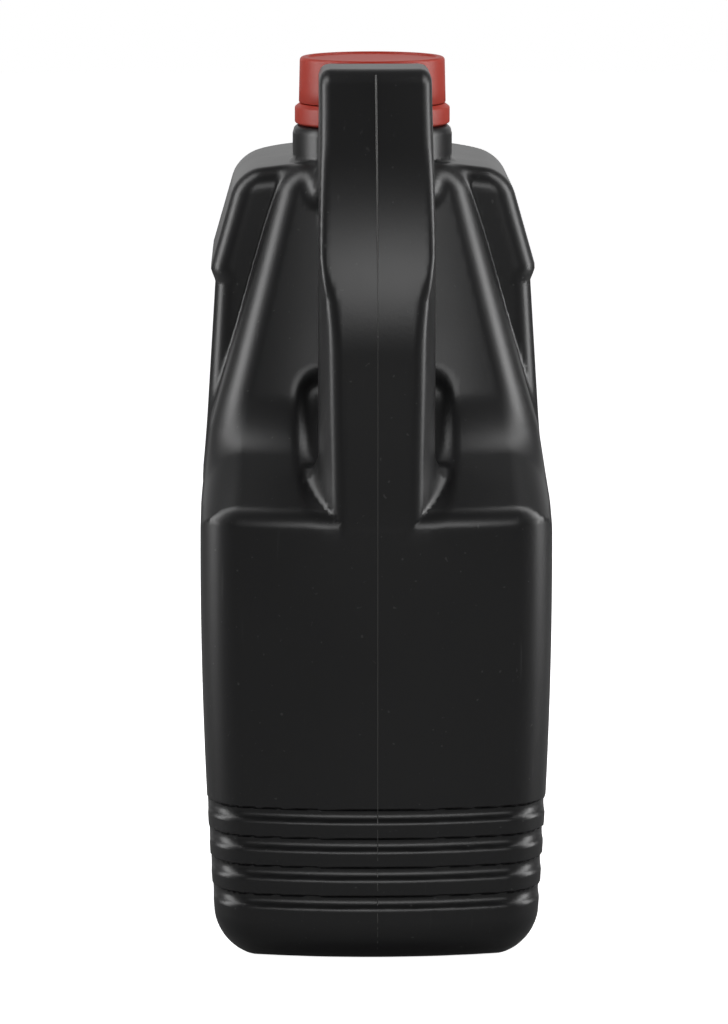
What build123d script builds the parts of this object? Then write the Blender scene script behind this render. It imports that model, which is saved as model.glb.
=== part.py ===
from build123d import *
import os
from math import atan2, sqrt, tan

# Five-litre motor oil jug: a blow-moulded bottle with a hollow handle, closed by a screw cap.
# Millimetres. X runs across the wide side faces, Y along the jug with the handle at -Y, Z up.
# The origin is the middle of the foot, on the surface that the jug stands on.

# Body: bulging sides, ends rounded in plan
length = 192.0
width = 124.3
wall = 1.2
handle_end_wall = 1.35
handle_wall = 1.5
end_radius = 195.0
side_radius = 1710.0
widest_z = 137.6
corner_radius = 15.0
foot_radius = 13.0
waist_z = 161.0
shoulder_z = 276.0

# Sloping back above the handle end: a shallow ledge, then a steep slope up to the neck
ledge_run = 43.0
ledge_z = 184.0
ledge_half_width = 59.0
slope_run = 29.5
ridge_half_width = 33.0

# Front block, with recessed label sides under an overhanging brow
block_setback = 81.0
brow_z = 238.0
brow_height = 4.5
brow_lip = 0.9
recess_overcut = 0.2
recess_half_width = 57.2
shoulder_half_width = 48.3
front_fall = 11.0
shoulder_edge_radius = 7.0

# Grooves across the handle end
groove_count = 4
groove_pitch = 10.35
groove_height = 4.7
groove_depth = 2.0
groove_top_z = 56.4

# Handle: an upright bar, then an arm that leans in to a flat top behind the neck
handle_width = 41.0
handle_depth = 27.0
handle_bend_z = 257.0
handle_bend_radius = 25.0
handle_top_z = 313.5
handle_lean_run = 38.0
handle_root_depth = 8.0
arm_setback = 72.0
arm_depth = 39.5
arm_web = 12.0
arm_plug = 10.0
arm_corner_radius = 8.0
handle_edge_radius = 4.0
grip_corner_radius = 14.0
saddle_z = 287.0
saddle_run = 37.0

# Finger scoops beside the handle's root
scoop_tip_x = 15.0
scoop_tip_z = 160.0
scoop_tip_radius = 1.5
scoop_heel_x = 18.0
scoop_heel_z = 189.0
scoop_run = 40.0
scoop_radius = 9.0

# Neck
neck_setback = 103.0
collar_diameter = 58.0
collar_root_depth = 20.0
collar_top_z = 289.1
collar_edge_radius = 3.0
neck_diameter = 45.0
mouth_diameter = 40.0
rim_z = 310.0
bead_depth = 2.3
bead_height = 2.0
bead_rise = 3.6

# Closure
running_clearance = 0.3
thread_room = 2.0
cap_wall = 2.2
cap_draft = 0.35
cap_crown = 2.2
cap_recess_depth = 0.7
cap_rim_width = 3.0
cap_edge_radius = 1.1
liner_thickness = 1.3
liner_gap = 0.4
ring_height = 7.6
ring_overhang = 1.5
ring_chamfer = 1.2
ring_lip_height = 2.4
ring_gap = 0.3

# Places that follow from the sizes above
back_y = -length / 2
front_y = length / 2
block_y = back_y + block_setback
neck_y = back_y + neck_setback
arm_plug_y = back_y + arm_setback - arm_plug
reach = 2 * length
neck_radius = neck_diameter / 2
mouth_radius = mouth_diameter / 2
bead_radius = neck_radius + bead_depth
bead_z = collar_top_z + bead_rise
cap_bore_radius = neck_radius + thread_room
cap_radius = cap_bore_radius + cap_wall
cap_floor_z = rim_z + liner_thickness
cap_top_z = cap_floor_z + cap_crown
ring_radius = cap_radius + ring_overhang
ring_top_z = collar_top_z + ring_height


def side_at(height):
    """Half the body's width at a height on its bulging side."""
    return width / 2 - side_radius + sqrt(side_radius**2 - (height - widest_z) ** 2)


def inset_corners(points, inset):
    """Corners of an anticlockwise outline, moved so that each of its sides goes in by inset."""
    moved = []
    for i, point in enumerate(points):
        corner = Vector(*point)
        arriving = (corner - Vector(*points[i - 1])).normalized().rotate(Axis.Z, 90)
        leaving = (Vector(*points[(i + 1) % len(points)]) - corner).normalized().rotate(Axis.Z, 90)
        shift = (arriving + leaving) * (inset / (1 + arriving.dot(leaving)))
        moved.append((corner.X + shift.X, corner.Y + shift.Y))
    return moved


def turned_end(axis_y, facing, points):
    """Solid turned about the upright axis of one end face, from (radius, height) points."""
    with BuildPart() as turned:
        with BuildSketch(Plane(origin=(0, axis_y, 0), x_dir=(0, -facing, 0), z_dir=(-facing, 0, 0))):
            Polygon(*points, align=None)
        revolve(axis=Axis((0, axis_y, 0), (0, 0, 1)))
    return turned.part


def front_outline(foot_z, bulge_top_z, upper_points, inset):
    """Face across the jug: bulging sides up to bulge_top_z, then straight runs."""
    middle_z = (foot_z + bulge_top_z) / 2
    foot, middle, bulge_top = [(side_at(z) - inset, z) for z in (foot_z, middle_z, bulge_top_z)]
    with BuildSketch(Plane.XZ) as face:
        with BuildLine():
            ThreePointArc(foot, middle, bulge_top)
            Polyline(bulge_top, *upper_points, (0, upper_points[-1][1]), (0, foot_z), foot)
        make_face()
        mirror(about=Plane.YZ)
    return face.sketch


def upright_corners(part, join_y):
    """The long corner edges between an end face and the sides, without those at the join."""
    return part.edges().filter_by(
        lambda edge: edge.bounding_box().size.Z > 1 and abs(edge.center().Y - join_y) > 1
    )


def foot_edges(part, join_y):
    """Edges around the foot, without the one at the join."""
    return part.edges().group_by(Axis.Z)[0].filter_by(lambda edge: abs(edge.center().Y - join_y) > 1)


def rear_mass(inset):
    """Body behind the block: the handle end, the ledge and the steep slope above it."""
    join_y = block_y + 2 * shoulder_edge_radius
    ledge_r = end_radius - ledge_run
    corners = inset_corners(
        [
            (0, 0),
            (end_radius, 0),
            (end_radius, waist_z),
            (ledge_r, ledge_z),
            (ledge_r - slope_run, shoulder_z),
            (0, shoulder_z),
        ],
        inset,
    )
    waist, ledge, ridge = [z for r, z in corners[2:5]]
    upper = [(ledge_half_width - inset, ledge), (ridge_half_width - inset, ridge)]
    with BuildPart() as rear:
        add(turned_end(back_y + end_radius, -1, corners))
        with BuildSketch(Plane.XZ.offset(-join_y)):
            add(front_outline(inset, waist, upper, inset))
        extrude(amount=reach, mode=Mode.INTERSECT)
        fillet(upright_corners(rear, join_y), corner_radius - inset)
        fillet(foot_edges(rear, join_y), foot_radius - inset)
    return rear.part


def front_block(inset):
    """Upright block under the shoulder, with recessed sides below its brow."""
    join_y = block_y + inset
    corners = inset_corners(
        [
            (0, 0),
            (end_radius, 0),
            (end_radius, brow_z),
            (end_radius - front_fall, shoulder_z),
            (0, shoulder_z),
        ],
        inset,
    )
    brow, top = [z for r, z in corners[2:4]]
    deepest = Vector(recess_half_width, brow_z - brow_height)
    low = Vector(side_at(waist_z), waist_z)
    high = Vector(side_at(brow_z - brow_lip), brow_z - brow_lip)
    low_end = low + (low - deepest) * recess_overcut
    high_end = high + (high - deepest) * recess_overcut
    recess = [
        (low_end.X, low_end.Y),
        (deepest.X, deepest.Y),
        (high_end.X, high_end.Y),
        (width, high_end.Y),
        (width, low_end.Y),
    ]
    with BuildPart() as block:
        add(turned_end(front_y - end_radius, 1, corners))
        with BuildSketch(Plane.XZ.offset(-join_y)):
            add(front_outline(inset, brow, [(shoulder_half_width - inset, top)], inset))
        extrude(amount=-reach, mode=Mode.INTERSECT)
        fillet(upright_corners(block, join_y), corner_radius - inset)
        fillet(foot_edges(block, join_y), foot_radius - inset)
        fillet(block.edges().group_by(Axis.Z)[-1], shoulder_edge_radius - inset)
        with BuildSketch(Plane.XZ):
            Polygon(*inset_corners(recess[::-1], -inset), align=None)
            mirror(about=Plane.YZ)
        extrude(amount=reach, both=True, mode=Mode.SUBTRACT)
    return block.part


def handle(inset, foot_z, arm_end_y):
    """Upright bar and leaning arm, turned about the end face's axis so that they lie flush with it."""
    inner_r = end_radius - handle_depth
    arm_r = end_radius - arm_setback
    root_z = waist_z - handle_root_depth
    soffit_z = handle_top_z - arm_depth
    lean = atan2(handle_lean_run, handle_top_z - handle_bend_z)
    grip_z = handle_bend_z - handle_depth * tan(lean / 2)
    soffit_r = inner_r - (soffit_z - grip_z) * tan(lean)
    path = [
        ((end_radius, root_z), 0),
        ((end_radius, handle_bend_z), handle_bend_radius - inset),
        ((end_radius - handle_lean_run, handle_top_z), arm_corner_radius - inset),
        ((arm_r, handle_top_z), arm_corner_radius - inset),
        ((arm_r, soffit_z - arm_web), 0),
        ((arm_r + arm_web, soffit_z), grip_corner_radius + inset),
        ((soffit_r, soffit_z), grip_corner_radius + inset),
        ((inner_r, grip_z), handle_bend_radius + inset),
        ((inner_r, root_z), 0),
    ]
    corners = inset_corners([point for point, radius in path], inset)
    half = handle_width / 2 - inset
    axis_y = back_y + end_radius
    with BuildPart() as bar:
        with BuildSketch(Plane(origin=(0, axis_y, 0), x_dir=(0, 1, 0), z_dir=(1, 0, 0))):
            with BuildLine():
                FilletPolyline(*corners, radius=[radius for point, radius in path], close=True)
            make_face()
        revolve(axis=Axis((0, axis_y, 0), (0, 0, 1)))
        with BuildSketch(Plane.XZ.offset(-arm_end_y)):
            with Locations((0, foot_z)):
                Rectangle(2 * half, reach, align=(Align.CENTER, Align.MIN))
        extrude(amount=reach, mode=Mode.INTERSECT)
        if not inset:
            flank_edges = bar.edges().filter_by(
                lambda edge: abs(abs(edge.center().X) - half) < 0.01 and edge.center().Z > foot_z + 1
            )
            fillet(flank_edges, handle_edge_radius)
    return bar.part


def collar(inset):
    """Collar and saddle that carry the arm; the cavity's copy opens into them."""
    root_z = shoulder_z - collar_root_depth
    with BuildPart() as neck:
        with BuildSketch(Plane.XY.offset(root_z)):
            with Locations((0, neck_y)):
                Circle(collar_diameter / 2 - inset)
        extrude(amount=collar_top_z - root_z - inset)
        fillet(neck.edges().sort_by(Axis.Z)[-1], collar_edge_radius - inset)
        with BuildSketch(Plane.XY.offset(root_z)):
            with Locations((0, neck_y)):
                Rectangle(handle_width - 2 * inset, saddle_run - inset, align=(Align.CENTER, Align.MAX))
        extrude(amount=saddle_z - root_z - inset)
    return neck.part


def scoops(growth):
    """Finger scoops on both sides of the handle's root, narrowing to a tip on the handle end."""
    tip = Vector(scoop_tip_x, back_y, scoop_tip_z)
    heel = Vector(scoop_heel_x, back_y + scoop_run, scoop_heel_z)
    along = heel - tip
    with BuildPart() as pair:
        with BuildSketch(Plane(origin=tip, z_dir=along)):
            Circle(scoop_tip_radius + growth)
        with BuildSketch(Plane(origin=heel, z_dir=along)):
            Circle(scoop_radius + growth)
        loft()
        with Locations(heel):
            Sphere(scoop_radius + growth)
        mirror(about=Plane.YZ)
    return pair.part


def grooves(growth):
    """Rings that cut the grooves: a level upper wall, a flat floor and a sloping lower wall."""
    floor_r = end_radius - groove_depth
    out_r = end_radius + groove_depth
    axis_y = back_y + end_radius
    with BuildPart() as rings:
        with BuildSketch(Plane(origin=(0, axis_y, 0), x_dir=(0, 1, 0), z_dir=(1, 0, 0))):
            for i in range(groove_count):
                top = groove_top_z - i * groove_pitch
                section = [
                    (floor_r, top),
                    (floor_r, top - groove_height + groove_depth),
                    (out_r, top - groove_height - groove_depth),
                    (out_r, top),
                ]
                Polygon(*inset_corners(section, -growth), align=None)
        revolve(axis=Axis((0, axis_y, 0), (0, 0, 1)))
    return rings.part


def skin(inset, rear_inset):
    """The jug's outer form, or with insets the cavity inside its walls."""
    with BuildPart() as form:
        add(rear_mass(rear_inset))
        add(front_block(inset))
        add(scoops(rear_inset), mode=Mode.SUBTRACT)
        add(grooves(rear_inset), mode=Mode.SUBTRACT)
        if not rear_inset:
            add(handle(0, waist_z - handle_root_depth, neck_y))
        add(collar(inset))
    return form.part


def turned_about_neck(points):
    """Solid turned about the neck's axis, from (radius, height) points."""
    with BuildPart() as turned:
        with BuildSketch(Plane(origin=(0, neck_y, 0), x_dir=(1, 0, 0), z_dir=(0, -1, 0))):
            Polygon(*points, align=None)
        revolve(axis=Axis((0, neck_y, 0), (0, 0, 1)))
    return turned.part


os.makedirs("parts", exist_ok=True)

# Bottle: the skin and its cavity, then the neck finish and the bore through it
with BuildPart() as bottle:
    add(skin(0, 0))
    add(skin(wall, handle_end_wall), mode=Mode.SUBTRACT)
    add(handle(handle_wall, ledge_z, arm_plug_y), mode=Mode.SUBTRACT)
    neck_finish = [
        (mouth_radius, collar_top_z - wall),
        (neck_radius, collar_top_z - wall),
        (neck_radius, bead_z),
        (bead_radius, bead_z),
        (neck_radius, bead_z + bead_height),
        (neck_radius, rim_z),
        (mouth_radius, rim_z),
    ]
    add(turned_about_neck(neck_finish))
    with BuildSketch(Plane.XY.offset(collar_top_z - 2 * wall)):
        with Locations((0, neck_y)):
            Circle(mouth_radius)
    extrude(amount=rim_z - collar_top_z + 2 * wall, mode=Mode.SUBTRACT)
bottle.part.label = "bottle"
export_step(bottle.part, "parts/bottle.step")

# Tamper ring: rests on the collar, its lip caught under the neck's bead
with BuildPart() as tamper_ring:
    lip_radius = neck_radius + running_clearance
    hoop_radius = bead_radius + running_clearance
    ring_section = [
        (lip_radius, collar_top_z),
        (ring_radius - ring_chamfer, collar_top_z),
        (ring_radius, collar_top_z + ring_chamfer / 2),
        (ring_radius, ring_top_z - ring_chamfer),
        (cap_radius, ring_top_z),
        (hoop_radius, ring_top_z),
        (hoop_radius, collar_top_z + ring_lip_height),
        (lip_radius, collar_top_z + ring_lip_height),
    ]
    add(turned_about_neck(ring_section))
tamper_ring.part.label = "tamper_ring"
export_step(tamper_ring.part, "parts/tamper_ring.step")

# Cap: a draughted skirt under a crown with a shallow recess
with BuildPart() as cap:
    skirt_z = ring_top_z + ring_gap
    crown_radius = cap_radius - cap_draft
    recess_radius = crown_radius - cap_rim_width
    cap_section = [
        (0, cap_floor_z),
        (cap_bore_radius, cap_floor_z),
        (cap_bore_radius, skirt_z),
        (cap_radius, skirt_z),
        (crown_radius, cap_top_z),
        (recess_radius, cap_top_z),
        (recess_radius, cap_top_z - cap_recess_depth),
        (0, cap_top_z - cap_recess_depth),
    ]
    add(turned_about_neck(cap_section))
    crown_edge = cap.edges().group_by(Axis.Z)[-1].sort_by(SortBy.LENGTH)[-1]
    fillet(crown_edge, cap_edge_radius)
cap.part.label = "cap"
export_step(cap.part, "parts/cap.step")

# Cap liner: a sealing disc between the rim and the cap
with BuildPart() as cap_liner:
    with BuildSketch(Plane.XY.offset(rim_z)):
        with Locations((0, neck_y)):
            Circle(cap_bore_radius - liner_gap)
    extrude(amount=liner_thickness)
cap_liner.part.label = "cap_liner"
export_step(cap_liner.part, "parts/cap_liner.step")
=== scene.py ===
from math import atan2, cos, pi, radians, sin, tan

import bpy
import numpy as np
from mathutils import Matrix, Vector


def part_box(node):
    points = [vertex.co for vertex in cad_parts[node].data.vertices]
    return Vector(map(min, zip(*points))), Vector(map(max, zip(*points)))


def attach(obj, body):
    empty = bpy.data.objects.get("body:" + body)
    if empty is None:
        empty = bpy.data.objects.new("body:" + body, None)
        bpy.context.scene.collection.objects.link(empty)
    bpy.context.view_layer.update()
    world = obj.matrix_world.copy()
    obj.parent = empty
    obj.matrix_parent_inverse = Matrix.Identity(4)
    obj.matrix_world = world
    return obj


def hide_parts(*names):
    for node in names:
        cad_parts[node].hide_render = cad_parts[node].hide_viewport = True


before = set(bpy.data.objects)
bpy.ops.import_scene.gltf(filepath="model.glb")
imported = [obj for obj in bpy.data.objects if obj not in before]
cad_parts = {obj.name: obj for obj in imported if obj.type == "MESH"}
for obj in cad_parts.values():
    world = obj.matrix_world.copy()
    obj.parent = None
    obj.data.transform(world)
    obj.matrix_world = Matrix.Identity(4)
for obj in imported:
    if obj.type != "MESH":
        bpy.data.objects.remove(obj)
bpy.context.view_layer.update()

# A black blow-moulded motor oil jug with a red screw cap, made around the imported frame.
# Shapes are worked out in millimetres, in the frame's own axes, and scaled once into metres.
MM = 0.001

foot, crown = (np.array(corner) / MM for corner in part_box("bottle"))
cap_low, cap_high = (np.array(corner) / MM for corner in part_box("cap"))
ring_low, ring_high = (np.array(corner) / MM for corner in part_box("tamper_ring"))
liner_low, liner_high = (np.array(corner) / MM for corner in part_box("cap_liner"))

BACK = foot[1]
FRONT = crown[1]
HALF_WIDTH = crown[0]
HANDLE_TOP = crown[2]
NECK = (cap_low[1] + cap_high[1]) / 2
RIM = liner_low[2]
COLLAR_TOP = ring_low[2]

# Body
END_RADIUS = 195.0
SIDE_RADIUS = 1710.0
WIDEST = 137.6
WAIST = 161.0
LEDGE = 184.0
LEDGE_RUN = 43.0
SHOULDER = 276.0
SLOPE_RUN = 29.5
BLOCK_BACK = BACK + 81.0
BROW = 238.0
FRONT_FALL = 11.0
FOOT_RADIUS = 16.0

# Handle
HANDLE_DEPTH = 27.0
BEND = 257.0
LEAN_RUN = 38.0
ARM_SETBACK = 72.0
SOFFIT = 274.0

# Neck
COLLAR_RADIUS = 29.0
NECK_RADIUS = 22.5
MOUTH_RADIUS = 20.0
THREAD_PITCH = 5.0

# Grooves
GROOVE_TOPS = [56.4 - 10.35 * i for i in range(4)]
GROOVE_DEPTH = 2.0
GROOVE_HEIGHT = 4.7
GROOVE_END = BACK + 30.0


# ---- Distance fields: negative inside, in millimetres ----

def meet(a, b, radius):
    """Overlap of two forms: max(a, b), with their edge rounded to the radius."""
    corner = np.hypot(np.maximum(radius + a, 0), np.maximum(radius + b, 0))
    return np.minimum(-radius, np.maximum(a, b)) + corner


def join(a, b, radius):
    """Union of two forms: min(a, b), with a fillet of the radius in their corner."""
    corner = np.hypot(np.maximum(radius - a, 0), np.maximum(radius - b, 0))
    return np.maximum(radius, np.minimum(a, b)) - corner


def half_plane(u, v, start, end):
    """Signed distance to the line from start to end, positive on its right-hand side."""
    run, rise = end[0] - start[0], end[1] - start[1]
    return ((u - start[0]) * rise - (v - start[1]) * run) / np.hypot(run, rise)


def bulge(z):
    """Half width of the bulging side at a height: a large arc about the widest line."""
    return HALF_WIDTH - SIDE_RADIUS + np.sqrt(SIDE_RADIUS ** 2 - (z - WIDEST) ** 2)


def rear_form(x, y, z, r):
    """Handle end, ledge and steep slope: the turned end face met by sides that close in upwards."""
    wide = np.interp(z, [WAIST, LEDGE, SHOULDER + 4], [bulge(WAIST), 59.0, 31.5])
    wide = np.where(z < WAIST, bulge(z), wide) - 2.0 * np.clip((y - BLOCK_BACK - 10.0) / 30.0, 0, 1)
    edge = np.interp(z, [WAIST, LEDGE, SHOULDER], [13.0, 12.0, 8.0])
    ledge_r = END_RADIUS - LEDGE_RUN
    ledge = half_plane(r, z, (END_RADIUS, WAIST), (ledge_r, LEDGE))
    slope = half_plane(r, z, (ledge_r, LEDGE), (ledge_r - SLOPE_RUN, SHOULDER))
    back = meet(r - END_RADIUS, join(ledge, slope, 10.0), 4.5)
    back = meet((np.abs(x) - wide) * 0.97, back, edge)
    return np.maximum(back, y - (FRONT - 46.0))


def block_form(x, y, z):
    """Front block: bulging sides, a recess under the brow, and a shoulder that falls away."""
    recess_foot, recess_top = WAIST + 2.0, BROW - 4.5
    heights = [WAIST, recess_foot, recess_top, BROW - 0.8, BROW + 0.8, SHOULDER]
    widths = [bulge(WAIST), bulge(WAIST) - 0.3, 57.2, 58.7, 58.9, 48.3]
    wide = np.where(z < WAIST, bulge(z), np.interp(z, heights, widths))
    radius = np.hypot(x, y - (FRONT - END_RADIUS))
    fall = np.interp(z, [BROW, SHOULDER], [0.0, FRONT_FALL])
    sides = np.abs(x) - wide
    front = meet(sides, radius - END_RADIUS + fall, 17.0)
    return meet(front, BLOCK_BACK - y, 8.5)


def scoop_form(x, y, z, skin):
    """Finger scoops beside the handle's root: a tall rounded outline, sunk into the skin."""
    tall = np.where(z < 192.0, 31.5, 12.0)
    power = np.where(z < 192.0, 2.0, 2.8)
    across = np.abs(np.abs(x) - 15.2) / 11.5
    outline = ((across ** power + (np.abs(z - 192.0) / tall) ** power) ** (1 / power) - 1) * 6.5
    depth = np.interp(z, [160.0, 172.0, 190.0, 204.0], [1.4, 3.2, 3.6, 3.0])
    return np.maximum(meet(outline, -(skin + depth), 3.0), y - (BACK + 75.0))


def groove_form(y, z, skin, top):
    """One groove: a level upper wall, a flat floor and a lower wall that slopes out, round the end."""
    fade = np.clip((GROOVE_END - y) / 14.0, -0.2, 1)
    floor = -(skin + GROOVE_DEPTH * fade)
    ramp = -(skin + (z - (top - GROOVE_HEIGHT))) / np.sqrt(2)
    return np.maximum(np.maximum(floor, z - top), meet(floor, ramp, 0.8))


def handle_form(x, z, r):
    """Upright bar and leaning arm around the grip, with a flank that slants on the lower bar."""
    outer = meet(r - END_RADIUS, half_plane(r, z, (END_RADIUS, BEND), (END_RADIUS - LEAN_RUN, HANDLE_TOP)), 22.0)
    outer = meet(outer, z - HANDLE_TOP, 5.0)
    outer = meet(outer, (END_RADIUS - ARM_SETBACK) - r, 5.0)
    lean = atan2(LEAN_RUN, HANDLE_TOP - BEND)
    inner_r = END_RADIUS - HANDLE_DEPTH
    grip_z = BEND - HANDLE_DEPTH * tan(lean / 2)
    arm_r = END_RADIUS - ARM_SETBACK
    grip = meet(r - inner_r, half_plane(r, z, (inner_r, grip_z), (inner_r - sin(lean), grip_z + cos(lean))), 22.0)
    grip = meet(grip, z - SOFFIT, 12.0)
    grip = meet(grip, half_plane(r, z, (arm_r + 12, SOFFIT), (arm_r, SOFFIT - 12)), 12.0)
    half = np.interp(z, [230.0, 300.0], [20.5, 19.8])
    face = np.interp(z, [WAIST, 236.0, 262.0], [14.4, 15.7, 21.5])
    slant = ((np.abs(x) - face) * 10 + (r - END_RADIUS) * 5) / np.hypot(10, 5)
    flank = meet(np.abs(x) - half, slant, 3.0)
    edge = np.interp(z, [240.0, 262.0, 300.0], [3.2, 3.2, 4.0])
    bar = meet(outer, -grip, 6.0)
    bar = np.maximum(bar, (WAIST - 14.0) - z)
    return meet(bar, flank, edge)


def jug_skin(x, y, z):
    """Outer form of the whole jug below its neck finish."""
    r = np.hypot(x, y - (BACK + END_RADIUS))
    roof = z - (SHOULDER + 3.5 - 0.12 * np.abs(x))
    crease = np.interp(z, [WAIST - 2, WAIST + 4], [0.02, 1.5])
    rear, block = rear_form(x, y, z, r), block_form(x, y, z)
    body = np.where(z < WAIST - 2, np.minimum(rear, block), join(rear, block, crease))
    body = meet(body, roof, 8.0)
    body = meet(body, -z, FOOT_RADIUS)
    body = meet(body, -scoop_form(x, y, z, body), 2.4)
    plain = body
    for top in GROOVE_TOPS:
        body = meet(body, -groove_form(y, z, plain, top), 0.5)
    rho = np.hypot(x, y - NECK)
    collar = meet(rho - COLLAR_RADIUS, z - COLLAR_TOP, 3.0)
    collar = np.maximum(collar, (SHOULDER - 20) - z)
    body = join(body, collar, 1.2)
    root = np.interp(END_RADIUS - r, [0.0, 5.0, 20.0], [0.1, 1.0, 7.0])
    body = join(body, handle_form(x, z, r), root)
    saddle = np.maximum(np.abs(x) - 19.0, np.maximum(z - 287.0, np.maximum((SHOULDER - 20) - z, np.abs(y - NECK + 14) - 20)))
    return join(body, saddle, 2.0)


def jug_form(x, y, z):
    """The jug up to its collar, with the bore and the hollow that show through the mouth."""
    skin = jug_skin(x, y, z)
    hollow = np.maximum(skin + 5.0, np.maximum(z - (SHOULDER - 5), 205.0 - z))
    bore = np.maximum(np.hypot(x, y - NECK) - MOUTH_RADIUS, (SHOULDER - 30) - z)
    return np.maximum(skin, -np.minimum(hollow, bore))


# ---- Surface from a distance field ----

def gradient(field, points, step=0.05):
    """Slope of the field at each point, by central differences along the three axes."""
    slopes = []
    for axis in range(3):
        ahead, behind = points.copy(), points.copy()
        ahead[:, axis] += step
        behind[:, axis] -= step
        slopes.append((field(*ahead.T) - field(*behind.T)) / (2 * step))
    return np.stack(slopes, axis=1)


def surface_net(field, lines):
    """Closed quad mesh where the field is zero, on a grid given by its three rows of coordinates.

    Each cell that the surface passes through gets one point, the mean of the crossings on its
    edges, and each grid edge that crosses the surface gets one quad between its four cells.
    The points then slide along the field's slope until they lie on the surface.
    """
    values = field(*np.meshgrid(*lines, indexing="ij", sparse=True))
    inside = values < 0
    shape = np.array(values.shape) - 1
    total = np.zeros((*shape, 3))
    count = np.zeros(shape)
    quads = []
    crossings = []
    for axis in range(3):
        low = [slice(None)] * 3
        high = [slice(None)] * 3
        low[axis], high[axis] = slice(None, -1), slice(1, None)
        low, high = tuple(low), tuple(high)
        crossed = inside[low] != inside[high]
        others = [k for k in range(3) if k != axis]
        for k in others:
            rim = [slice(None)] * 3
            for rim[k] in (0, -1):
                crossed[tuple(rim)] = False
        where = np.argwhere(crossed)
        start = values[tuple(where.T)]
        ahead = where.copy()
        ahead[:, axis] += 1
        end = values[tuple(ahead.T)]
        spot = np.stack([lines[k][where[:, k]] for k in range(3)], axis=1)
        span = lines[axis][ahead[:, axis]] - lines[axis][where[:, axis]]
        spot[:, axis] += span * start / (start - end)
        around = []
        for shift in ((0, 0), (-1, 0), (-1, -1), (0, -1)):
            cell = where.copy()
            cell[:, others[0]] += shift[0]
            cell[:, others[1]] += shift[1]
            np.add.at(total, tuple(cell.T), spot)
            np.add.at(count, tuple(cell.T), 1)
            around.append(cell)
        crossings.append((around, start < 0, axis))
    used = count > 0
    index = np.full(shape, -1)
    index[used] = np.arange(used.sum())
    points = total[used] / count[used][:, None]
    for around, starts_inside, axis in crossings:
        quad = np.stack([index[tuple(cell.T)] for cell in around], axis=1)
        turn = starts_inside if axis != 1 else ~starts_inside
        quad[~turn] = quad[~turn][:, ::-1]
        quads.append(quad)
    for _ in range(4):
        slope = gradient(field, points)
        steep = np.maximum((slope ** 2).sum(axis=1), 0.2)
        move = slope * (field(*points.T) / steep)[:, None]
        points -= np.clip(move, -0.6, 0.6)
    return points, np.concatenate(quads)


# ---- Pieces ----

def new_piece(name, points, faces, normals=None):
    """A mesh object from points in millimetres and quads, smooth all over."""
    mesh = bpy.data.meshes.new(name)
    faces = np.asarray(faces)
    mesh.vertices.add(len(points))
    mesh.vertices.foreach_set("co", (np.asarray(points) * MM).astype(np.float32).ravel())
    mesh.loops.add(faces.size)
    mesh.loops.foreach_set("vertex_index", faces.astype(np.int32).ravel())
    mesh.polygons.add(len(faces))
    mesh.polygons.foreach_set("loop_start", np.arange(len(faces), dtype=np.int32) * faces.shape[1])
    mesh.update(calc_edges=True)
    mesh.validate()
    mesh.shade_smooth()
    if normals is not None:
        mesh.normals_split_custom_set_from_vertices(normals)
    piece = bpy.data.objects.new(name, mesh)
    bpy.context.scene.collection.objects.link(piece)
    return piece


def bottle_piece():
    """Black jug from its distance field, on a grid that is finer where the grooves are."""
    pitch = 1.85
    xs = np.arange(-HALF_WIDTH - 2.5, HALF_WIDTH + 3.5, pitch)
    ys = np.arange(BACK - 2.5, FRONT + 3.5, pitch)
    zs = np.concatenate([np.arange(-2.5, 14.0, pitch), np.arange(14.2, 60.0, 0.95), np.arange(61.0, HANDLE_TOP + 3.0, pitch)])
    points, quads = surface_net(jug_form, (xs, ys, zs))
    slope = gradient(jug_form, points)
    normals = slope / np.maximum(np.linalg.norm(slope, axis=1), 1e-6)[:, None]
    return new_piece("jug_skin", points, quads, normals)


def lathe(name, profile, centre_y, segments=128, ripple=None):
    """Surface turned about the neck's axis: profile rows are (radius, height), columns the angle."""
    radii, heights = np.array(profile, float).T
    angle = np.linspace(0, 2 * pi, segments, endpoint=False)
    spread = np.ones((len(radii), segments)) * radii[:, None]
    lift = np.ones((len(radii), segments)) * heights[:, None]
    if ripple is not None:
        spread = spread + ripple(spread, lift, angle)
    points = np.stack([spread * np.cos(angle), centre_y + spread * np.sin(angle), lift], axis=-1)
    rows, columns = len(radii), segments
    i, j = np.meshgrid(np.arange(rows), np.arange(columns), indexing="ij")
    ring = (i * columns + j).ravel()
    nxt = (i * columns + (j + 1) % columns).ravel()
    up = (((i + 1) % rows) * columns + (j + 1) % columns).ravel()
    left = (((i + 1) % rows) * columns + j).ravel()
    return new_piece(name, points.reshape(-1, 3), np.stack([ring, nxt, up, left], axis=1))


def arc(centre, radius, start, end, steps=5):
    """Points of a rounded corner in a turned profile, from one angle to another in degrees."""
    angles = np.radians(np.linspace(start, end, steps))
    return [(centre[0] + radius * cos(a), centre[1] + radius * sin(a)) for a in angles]


def thread(root, crest, low, high, phase=0.0):
    """Ripple that raises a right-hand helical ridge between two heights, one pitch to a turn."""
    def ripple(radius, height, angle):
        turn = ((height - RIM) / THREAD_PITCH - (angle[None, :] + phase) / (2 * pi)) % 1.0
        ridge = np.clip(1.6 - np.abs(turn - 0.5) * 6.5, 0, 1)
        fade = np.clip((height - low) / 1.2, 0, 1) * np.clip((high - height) / 1.2, 0, 1)
        near = np.abs(radius - root) < 0.02
        return np.where(near, (crest - root) * ridge * fade, 0)
    return ripple


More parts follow.
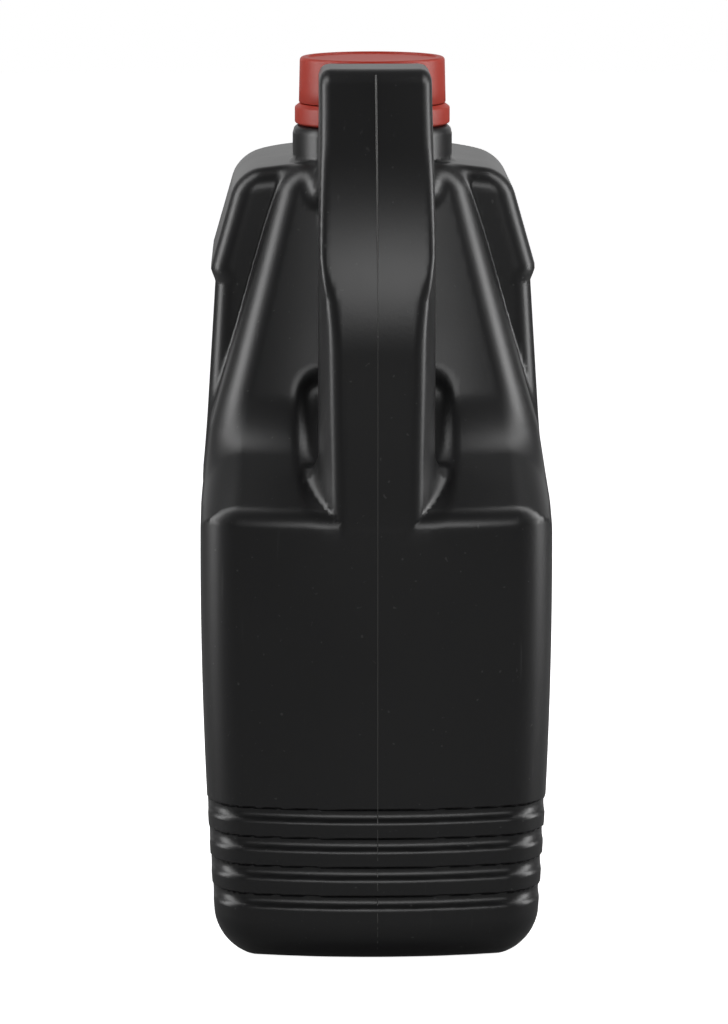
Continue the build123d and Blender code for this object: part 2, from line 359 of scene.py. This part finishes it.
def neck_piece():
    """Neck finish: a tube with a bead under the ring and a helical thread on its outside."""
    bead = COLLAR_TOP + 3.6
    outside = [(NECK_RADIUS, z) for z in np.linspace(bead + 2.0, RIM - 0.6, 44)]
    profile = [
        (MOUTH_RADIUS - 0.05, COLLAR_TOP - 4),
        (NECK_RADIUS + 0.05, COLLAR_TOP - 4),
        (NECK_RADIUS + 0.05, bead),
        *arc((NECK_RADIUS + 1.9, bead + 0.4), 0.4, -90, 0),
        (NECK_RADIUS + 0.6, bead + 1.7),
        *outside,
        *arc((NECK_RADIUS - 0.5, RIM - 0.5), 0.5, 0, 90),
        *arc((MOUTH_RADIUS + 0.45, RIM - 0.5), 0.5, 90, 180),
    ]
    return lathe("neck_thread", profile, NECK, 160, thread(NECK_RADIUS, NECK_RADIUS + 1.4, bead + 3.0, RIM - 1.5))


def cap_piece():
    """Cap: draughted skirt, rounded crown edge, a raised rim around a shallow recess, inner thread."""
    skirt, top = cap_low[2], cap_high[2]
    radius = cap_high[0]
    crown_radius = radius - 0.35
    bore = radius - 2.2
    floor = liner_high[2]
    recess = crown_radius - 3.0
    inside = [(bore, z) for z in np.linspace(floor - 0.5, skirt + 0.5, 44)]
    profile = [
        (0.02, floor),
        (bore - 0.6, floor),
        *inside,
        (bore + 0.3, skirt),
        (radius - 0.3, skirt),
        (radius, skirt + 0.3),
        (radius - 0.1, skirt + 5),
        (radius - 0.22, skirt + 10),
        *arc((crown_radius - 1.3, top - 1.3), 1.3, 0, 90, 8),
        (crown_radius - 1.8, top),
        *arc((recess + 0.35, top - 0.35), 0.35, 90, 180, 4),
        *arc((recess - 0.5, top - 0.2), 0.5, 0, -90, 5),
        (recess - 1.2, top - 0.7),
        (recess * 0.6, top - 0.7),
        (1.0, top - 0.7),
        (0.3, top - 0.7),
        (0.02, top - 0.7),
    ]
    return lathe("screw_cap", profile, NECK, 160, thread(bore, bore - 1.0, skirt + 1.5, floor - 2.5, pi))


def ring_piece():
    """Tamper ring: a hoop with sloping shoulders and a lip that catches under the neck's bead."""
    low, high = ring_low[2], ring_high[2]
    radius = ring_high[0]
    hoop = NECK_RADIUS + 2.6
    profile = [
        (NECK_RADIUS + 0.3, low),
        (radius - 1.3, low),
        *arc((radius - 0.7, low + 1.1), 0.7, -60, 0),
        *arc((radius - 0.6, high - 1.6), 0.6, 0, 50),
        (cap_high[0] + 0.1, high - 0.25),
        (cap_high[0] - 0.2, high),
        (hoop, high),
        (hoop, low + 2.4),
        (NECK_RADIUS + 0.3, low + 2.4),
    ]
    return lathe("tamper_hoop", profile, NECK, 160)


def liner_piece():
    """Sealing disc with a pressed ring where the rim of the neck meets it."""
    low, high = liner_low[2], liner_high[2]
    radius = liner_high[0]
    press = [(r, low + 0.18 * np.exp(-((r - 21.2) / 0.9) ** 2)) for r in np.linspace(radius - 0.6, 17.0, 18)]
    profile = [(0.02, high), (radius - 0.25, high), (radius, high - 0.25), (radius, low + 0.25), (radius - 0.25, low), *press, (0.02, low)]
    return lathe("seal_disc", profile[::-1], NECK, 96)


def seam_piece():
    """Parting line: a thin ridge on the middle plane that follows the handle end up and over."""
    stations = np.concatenate([
        np.stack([np.full(90, BACK + 1.0), np.linspace(3.0, BEND - 12, 90)], axis=1),
        np.stack([np.full(50, BACK + 4.0), np.linspace(BEND - 10, HANDLE_TOP - 2, 50)], axis=1),
    ])
    points = np.stack([np.zeros(len(stations)), stations[:, 0], stations[:, 1]], axis=1)
    for _ in range(60):
        value = jug_skin(*points.T)
        points[:, 1] += np.clip(value, -2.0, 2.0) * 0.9
    slope = gradient(jug_skin, points)
    slope /= np.linalg.norm(slope, axis=1)[:, None]
    slope[:, 0] = 0
    height = np.interp(points[:, 2], [0, WAIST, BEND - 12, BEND, HANDLE_TOP - 6], [0.05, 0.05, 0.08, 0.42, 0.42])
    height = height * (1 + 0.25 * np.sin(points[:, 2] * 1.9) * np.sin(points[:, 2] * 0.73))
    half = np.interp(points[:, 2], [0, WAIST, BEND - 12, BEND, HANDLE_TOP], [0.12, 0.14, 0.14, 0.30, 0.34])
    section = [(-1.6, -0.4), (-0.6, 0.6), (0.0, 1.0), (0.6, 0.6), (1.6, -0.4)]
    rows = []
    for across, out in section:
        row = points + slope * (height * out)[:, None]
        row[:, 0] = across * half
        rows.append(row)
    grid = np.stack(rows, axis=1)
    count, width = grid.shape[:2]
    i, j = np.meshgrid(np.arange(count - 1), np.arange(width), indexing="ij")
    corner = (i * width + j).ravel()
    beside = (i * width + (j + 1) % width).ravel()
    faces = np.stack([corner, beside, beside + width, corner + width], axis=1)
    return new_piece("parting_line", grid.reshape(-1, 3), faces)


# ---- Materials ----

class Socket:
    """A shader socket that adds Math nodes when it is used in an expression."""

    def __init__(self, graph, socket):
        self.graph, self.socket = graph, socket

    def maths(self, operation, *values):
        return self.graph.node("ShaderNodeMath", {"operation": operation}, dict(enumerate(values)))["Value"]

    def __add__(self, other):
        return self.maths("ADD", self, other)

    def __radd__(self, other):
        return self.maths("ADD", other, self)

    def __sub__(self, other):
        return self.maths("SUBTRACT", self, other)

    def __rsub__(self, other):
        return self.maths("SUBTRACT", other, self)

    def __mul__(self, other):
        return self.maths("MULTIPLY", self, other)

    def __rmul__(self, other):
        return self.maths("MULTIPLY", other, self)


class Graph:
    """A node tree that adds a node from its type, its settings and its sockets' values or links."""

    def __init__(self, tree):
        self.tree = tree
        tree.nodes.clear()

    def node(self, kind, settings=None, inputs=None):
        made = self.tree.nodes.new(kind)
        for key, value in (settings or {}).items():
            if key == "stops":
                ramp = made.color_ramp.elements
                for element, (place, shade) in zip(ramp, value):
                    element.position, element.color = place, shade
            else:
                setattr(made, key, value)
        for key, value in (inputs or {}).items():
            if isinstance(value, Socket):
                self.tree.links.new(value.socket, made.inputs[key])
            else:
                made.inputs[key].default_value = value
        return {output.name: Socket(self, output) for output in made.outputs if output.enabled}


def plastic(name, colour, pale, roughness, relief, flow=0.0, coat=0.0):
    """Moulded plastic: fine skin relief, slow unevenness in gloss, faint scuffs and specks of dust."""
    material = bpy.data.materials.new(name)
    material.use_nodes = True
    graph = Graph(material.node_tree)
    place = graph.node("ShaderNodeTexCoord")["Object"]
    cloud = graph.node("ShaderNodeTexNoise", None, {"Vector": place, "Scale": 22.0, "Detail": 3.0})["Fac"]
    grain = graph.node("ShaderNodeTexNoise", None, {"Vector": place, "Scale": 900.0, "Detail": 2.0})["Fac"]
    wave = graph.node("ShaderNodeTexNoise", None, {"Vector": place, "Scale": 60.0, "Detail": 1.0})["Fac"]
    stretched = graph.node("ShaderNodeMapping", None, {"Vector": place, "Rotation": (0.5, 0.4, 0.9), "Scale": (1.0, 1.0, 0.06)})["Vector"]
    streak = graph.node("ShaderNodeTexNoise", None, {"Vector": stretched, "Scale": 420.0, "Detail": 2.0})["Fac"]
    scuff = graph.node("ShaderNodeMapRange", None, {"Value": streak, 1: 0.70, 2: 0.80, 3: 0.0, 4: 1.0})["Result"]
    dust = graph.node("ShaderNodeTexNoise", None, {"Vector": place, "Scale": 640.0, "Detail": 0.0})["Fac"]
    speck = graph.node("ShaderNodeMapRange", None, {"Value": dust, 1: 0.81, 2: 0.88, 3: 0.0, 4: 1.0})["Result"]
    worn = scuff * cloud * 0.25 + speck * 0.4
    shade = graph.node("ShaderNodeMix", {"data_type": "RGBA"}, {0: worn, 6: (*colour, 1), 7: (*pale, 1)})["Result"]
    gloss = roughness + (cloud - 0.5) * 0.10 + scuff * 0.12
    bump = graph.node("ShaderNodeBump", None, {"Strength": relief, "Distance": 0.0002, "Height": grain * 0.4 + wave * flow + scuff * 0.3})["Normal"]
    shader = graph.node("ShaderNodeBsdfPrincipled", None, {
        "Base Color": shade, "Roughness": gloss, "Normal": bump, "IOR": 1.5, "Coat Weight": coat, "Coat Roughness": 0.3,
    })["BSDF"]
    graph.node("ShaderNodeOutputMaterial", None, {"Surface": shader})
    return material


def studio_world():
    """Plain studio: white to the camera and behind the jug, dim on the camera's side."""
    world = bpy.data.worlds.new("studio")
    bpy.context.scene.world = world
    world.use_nodes = True
    graph = Graph(world.node_tree)
    way = graph.node("ShaderNodeTexCoord")["Generated"]
    parts = graph.node("ShaderNodeSeparateXYZ", None, {0: way})
    behind = graph.node("ShaderNodeMapRange", {"interpolation_type": "SMOOTHSTEP"}, {
        "Value": parts["Y"], 1: 0.70, 2: 0.98, 3: 0.070, 4: 0.70,
    })["Result"]
    seen = graph.node("ShaderNodeLightPath")["Is Camera Ray"]
    level = seen + (1.0 - seen) * behind
    light = graph.node("ShaderNodeBackground", None, {"Color": (1, 1, 1, 1), "Strength": level})["Background"]
    graph.node("ShaderNodeOutputWorld", None, {"Surface": light})


def softbox(name, place, aim, size, power):
    """Rectangular lamp at a place in metres, turned to face the aim."""
    lamp = bpy.data.lights.new(name, "AREA")
    lamp.shape = "RECTANGLE"
    lamp.size, lamp.size_y = size
    lamp.energy = power
    holder = bpy.data.objects.new(name, lamp)
    bpy.context.scene.collection.objects.link(holder)
    holder.location = place
    way = np.array(aim) - np.array(place)
    holder.rotation_euler = (atan2(np.hypot(way[0], way[1]), -way[2]), 0, atan2(way[1], way[0]) - pi / 2)


def floor_piece():
    """Pale floor that stays white to the camera but keeps the jug's soft shadow."""
    half = 4.0
    mesh = bpy.data.meshes.new("floor")
    mesh.from_pydata([(-half, -half, 0), (half, -half, 0), (half, half, 0), (-half, half, 0)], [], [(0, 1, 2, 3)])
    floor = bpy.data.objects.new("floor", mesh)
    bpy.context.scene.collection.objects.link(floor)
    material = bpy.data.materials.new("floor_white")
    material.use_nodes = True
    graph = Graph(material.node_tree)
    seen = graph.node("ShaderNodeLightPath")["Is Camera Ray"]
    paint = graph.node("ShaderNodeMix", {"data_type": "RGBA"}, {0: seen, 6: (0.3, 0.3, 0.3, 1), 7: (0.9, 0.9, 0.9, 1)})["Result"]
    glow = graph.node("ShaderNodeMix", {"data_type": "RGBA"}, {0: seen, 6: (0, 0, 0, 1), 7: (0.93, 0.93, 0.93, 1)})["Result"]
    shader = graph.node("ShaderNodeBsdfPrincipled", None, {
        "Base Color": paint, "Roughness": 0.9, "Specular IOR Level": 0.0,
        "Emission Color": glow, "Emission Strength": 1.0,
    })["BSDF"]
    graph.node("ShaderNodeOutputMaterial", None, {"Surface": shader})
    mesh.materials.append(material)


def camera():
    """Camera a little above and to the left of the handle end, looking slightly down."""
    lens = bpy.data.cameras.new("camera")
    lens.lens = 175.0
    lens.sensor_width = 36.0
    lens.clip_end = 50.0
    holder = bpy.data.objects.new("camera", lens)
    bpy.context.scene.collection.objects.link(holder)
    holder.location = (-0.035, (BACK - 1707.0) * MM, 0.4464)
    holder.rotation_euler = (radians(90 - 9.43), 0, radians(-1.013))
    bpy.context.scene.camera = holder


BLACK = plastic("black_polyethylene", (0.0095, 0.0095, 0.010), (0.09, 0.09, 0.09), 0.34, 0.25, flow=0.9)
RED = plastic("red_polypropylene", (0.40, 0.026, 0.010), (0.50, 0.13, 0.10), 0.45, 0.2, flow=0.2)
FLASH = plastic("parting_flash", (0.06, 0.06, 0.058), (0.30, 0.30, 0.29), 0.35, 0.1)
PALE = plastic("liner_foam", (0.72, 0.72, 0.69), (0.60, 0.60, 0.57), 0.55, 0.3)

pieces = [
    (bottle_piece(), "jug", "bottle", "bottle_black", BLACK),
    (neck_piece(), "jug", None, "bottle_black", BLACK),
    (seam_piece(), "jug", None, "bottle_black", FLASH),
    (ring_piece(), "jug", "tamper_ring", "cap_red", RED),
    (cap_piece(), "cap", "cap", "cap_red", RED),
    (liner_piece(), "liner", "cap_liner", "liner_white", PALE),
]
for piece, body, node, slot, material in pieces:
    piece.data.materials.append(material)
    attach(piece, body)
    if node:
        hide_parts(node)

floor_piece()
studio_world()
softbox("left_strip", (-1.2, 0.1, 0.45), (0, 0, 0.16), (0.45, 1.0), 8)
softbox("right_strip", (1.2, 0.1, 0.45), (0, 0, 0.16), (0.45, 1.0), 9)
softbox("front_fill", (0.2, -2.4, 1.1), (0, 0, 0.15), (2.2, 0.8), 22)
softbox("top_left", (-0.7, 0.1, 1.1), (0, 0, 0.2), (0.4, 0.8), 4)
softbox("top_right", (0.7, 0.1, 1.1), (0, 0, 0.2), (0.4, 0.8), 4)
camera()
bpy.context.scene.view_settings.view_transform = "Standard"
